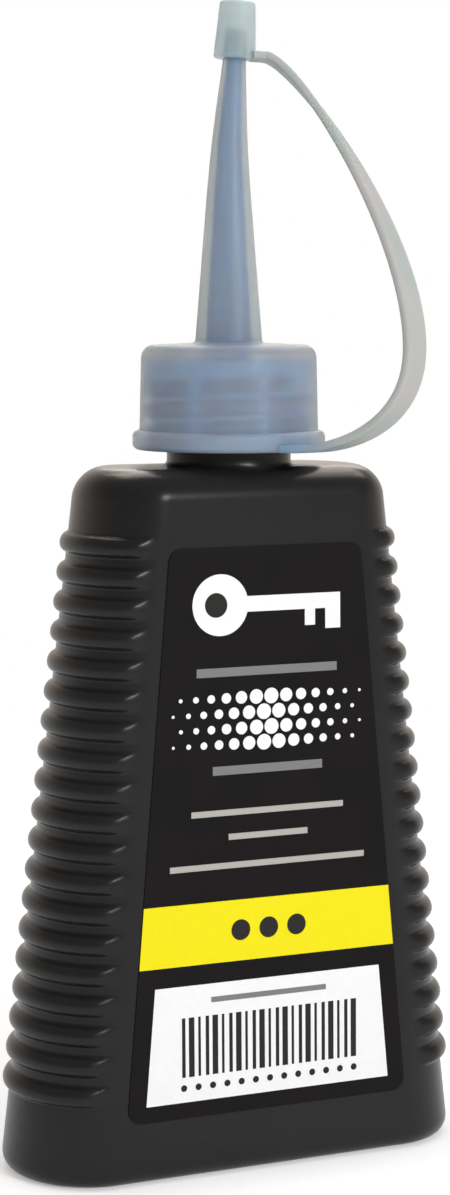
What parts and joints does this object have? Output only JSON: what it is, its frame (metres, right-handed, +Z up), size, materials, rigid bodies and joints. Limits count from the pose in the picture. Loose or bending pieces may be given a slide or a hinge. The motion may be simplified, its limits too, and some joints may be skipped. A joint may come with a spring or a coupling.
{
  "type": "graphite lock lubricant bottle",
  "caption": "Flat tapered squeeze bottle with ribbed grip sides, a screw closure with a long conical spout, and a tip cap on a tether strap, for puffing graphite powder into locks.",
  "frame": {"origin": "centre of the bottle's flat base, on the surface that it stands on", "axes": "+Z up along the neck and spout, -Y out of the labelled front face, +X to the right seen from the front"},
  "size_m": [0.0718, 0.0445, 0.1722],
  "materials": {
    "black_polyethylene": "satin",
    "label_film": "satin",
    "graphite": "matte",
    "foam": "matte",
    "natural_polyethylene": "satin"
  },
  "bodies": {
    "bottle": {"bottle": "black_polyethylene", "front_label": "label_film", "graphite_powder": "graphite"},
    "sealing_wad": {"sealing_wad": "foam"},
    "nozzle_closure": {"nozzle_closure": "natural_polyethylene", "tether_strap": "natural_polyethylene"},
    "tip_cap": {"tip_cap": "natural_polyethylene"}
  },
  "joints": [
    {"name": "closure_rise", "type": "slide", "parent": "bottle", "child": "sealing_wad", "axis": [0, 0, 1], "range_m": [0, 0.00636]},
    {"name": "closure_turn", "type": "hinge", "parent": "sealing_wad", "child": "nozzle_closure", "pos_m": [0, 0, 0.1063], "axis": [0, 0, 1], "range_deg": [0, 720]},
    {"name": "tip_cap_pull", "type": "slide", "parent": "nozzle_closure", "child": "tip_cap", "axis": [0.0574, -0.0209, 0.9981], "range_m": [0, 0.01], "deforming": ["tether_strap"]}
  ],
  "couplings": [
    {"joint": "closure_rise", "follows": "closure_turn", "m_per_rad": 0.00050532}
  ]
}
